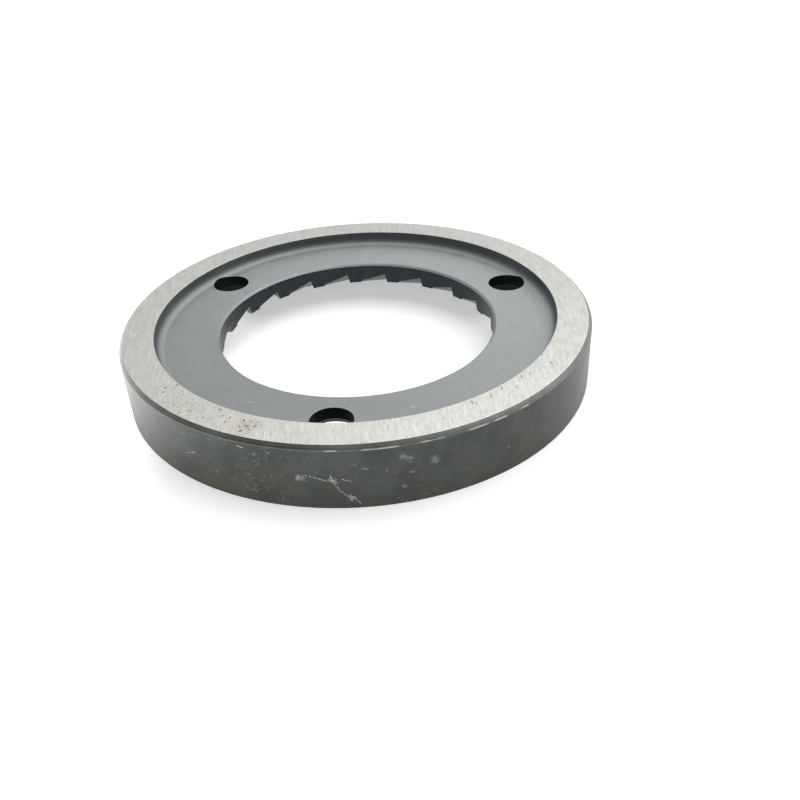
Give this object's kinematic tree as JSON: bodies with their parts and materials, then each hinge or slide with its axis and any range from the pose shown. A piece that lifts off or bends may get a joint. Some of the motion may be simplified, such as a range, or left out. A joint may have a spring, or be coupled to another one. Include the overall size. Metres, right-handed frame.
{
  "type": "coffee grinder burr",
  "caption": "Flat steel grinding burr: a ring with skewed grinding teeth and breaker teeth on one face, a locating recess and sunk screw holes on the other.",
  "frame": {"origin": "centre of the ring in the plane of the tooth lands, on which the burr lies", "axes": "+Z along the ring's axis, from the tooth lands up to the mounting face; the first screw hole is 30 degrees from +X towards +Y"},
  "size_m": [0.064, 0.064, 0.0085],
  "materials": {
    "ground_steel": "ground rim and tooth lands, satin turned and milled faces"
  },
  "bodies": {
    "root": {"burr": "ground_steel"}
  },
  "joints": []
}
